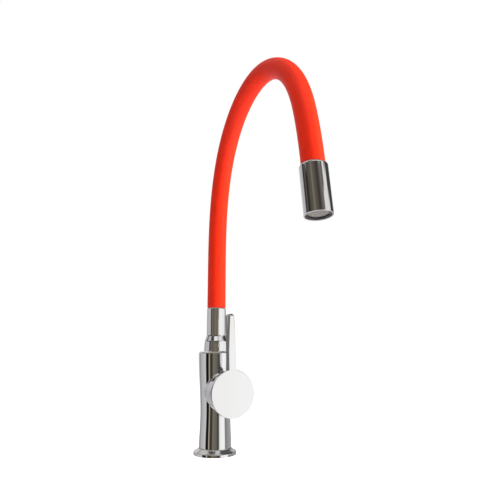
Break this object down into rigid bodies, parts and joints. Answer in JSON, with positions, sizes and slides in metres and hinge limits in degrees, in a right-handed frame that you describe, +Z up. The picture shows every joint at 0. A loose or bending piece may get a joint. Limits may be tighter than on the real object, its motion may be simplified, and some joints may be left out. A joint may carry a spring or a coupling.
{
  "type": "flexible kitchen faucet",
  "caption": "Single-lever kitchen faucet: chromed body with a side barrel, disc handle with an upright stem, and a red flexible gooseneck spout with a cylindrical nozzle.",
  "frame": {"origin": "on the worktop's surface, on the axis of the body", "axes": "+Z up; -Y from the body towards the barrel, the handle and the nozzle; +X to the right of someone who looks along +Y"},
  "size_m": [0.0532, 0.2625, 0.5019],
  "materials": {
    "chrome": "polished",
    "brass": "machined",
    "steel": "plain",
    "silicone": "satin red silicone",
    "rubber": "matte",
    "plastic": "matte",
    "dark_plastic": "satin",
    "tubing": "smooth",
    "ceramic": "lapped",
    "screen": "woven"
  },
  "bodies": {
    "body": {"valve_body": "chrome", "base_ring": "chrome", "base_gasket": "rubber", "slip_ring": "plastic", "swivel_lock_screw": "steel", "cartridge_base": "plastic", "hot_port_seal": "rubber", "cold_port_seal": "rubber", "outlet_port_seal": "rubber", "fixed_ceramic_disc": "ceramic", "cartridge_housing": "plastic", "cartridge_nut": "brass", "trim_ring": "chrome", "mounting_stud": "steel", "clamp_gasket": "rubber", "clamp_plate": "steel", "stud_nut": "steel"},
    "neck": {"spout_neck": "chrome", "lower_o_ring": "rubber", "upper_o_ring": "rubber", "lower_hose_insert": "brass"},
    "hose": {"hose_sleeve": "silicone", "gooseneck_core": "steel", "water_tube": "tubing"},
    "nozzle": {"nozzle_sleeve": "chrome", "upper_hose_insert": "brass", "aerator_seal": "rubber", "aerator_housing": "dark_plastic", "aerator_screen": "screen", "jet_plate": "plastic"},
    "carrier": {"rotating_carrier": "plastic"},
    "lever": {"lever_spindle": "brass", "pivot_pin": "steel", "handle": "chrome", "handle_screw": "steel"},
    "slider": {"disc_slider": "plastic", "moving_ceramic_disc": "ceramic"}
  },
  "joints": [
    {"name": "spout_swivel", "type": "hinge", "parent": "body", "child": "neck", "pos_m": [0, 0, 0.118], "axis": [0, 0, 1], "continuous": true},
    {"name": "hose_lower_bend", "type": "hinge", "parent": "neck", "child": "hose", "pos_m": [0, -0.01333, 0.29534], "axis": [1, 0, 0], "range_deg": [-30, 20], "deforming": ["hose_sleeve", "gooseneck_core", "water_tube"]},
    {"name": "hose_upper_bend", "type": "hinge", "parent": "hose", "child": "nozzle", "pos_m": [0, -0.16114, 0.38334], "axis": [1, 0, 0], "range_deg": [-45, 30], "deforming": ["hose_sleeve", "gooseneck_core", "water_tube"]},
    {"name": "handle_turn", "type": "hinge", "parent": "body", "child": "carrier", "pos_m": [0, -0.026, 0.0715], "axis": [0, -1, 0], "range_deg": [-45, 45]},
    {"name": "handle_tilt", "type": "hinge", "parent": "carrier", "child": "lever", "pos_m": [0, -0.026, 0.0715], "axis": [1, 0, 0], "range_deg": [0, 20]},
    {"name": "disc_slide", "type": "slide", "parent": "carrier", "child": "slider", "axis": [0, 0, 1], "range_m": [0, 0.002]}
  ],
  "couplings": [
    {"joint": "disc_slide", "follows": "handle_tilt", "m_per_rad": 0.0056}
  ]
}
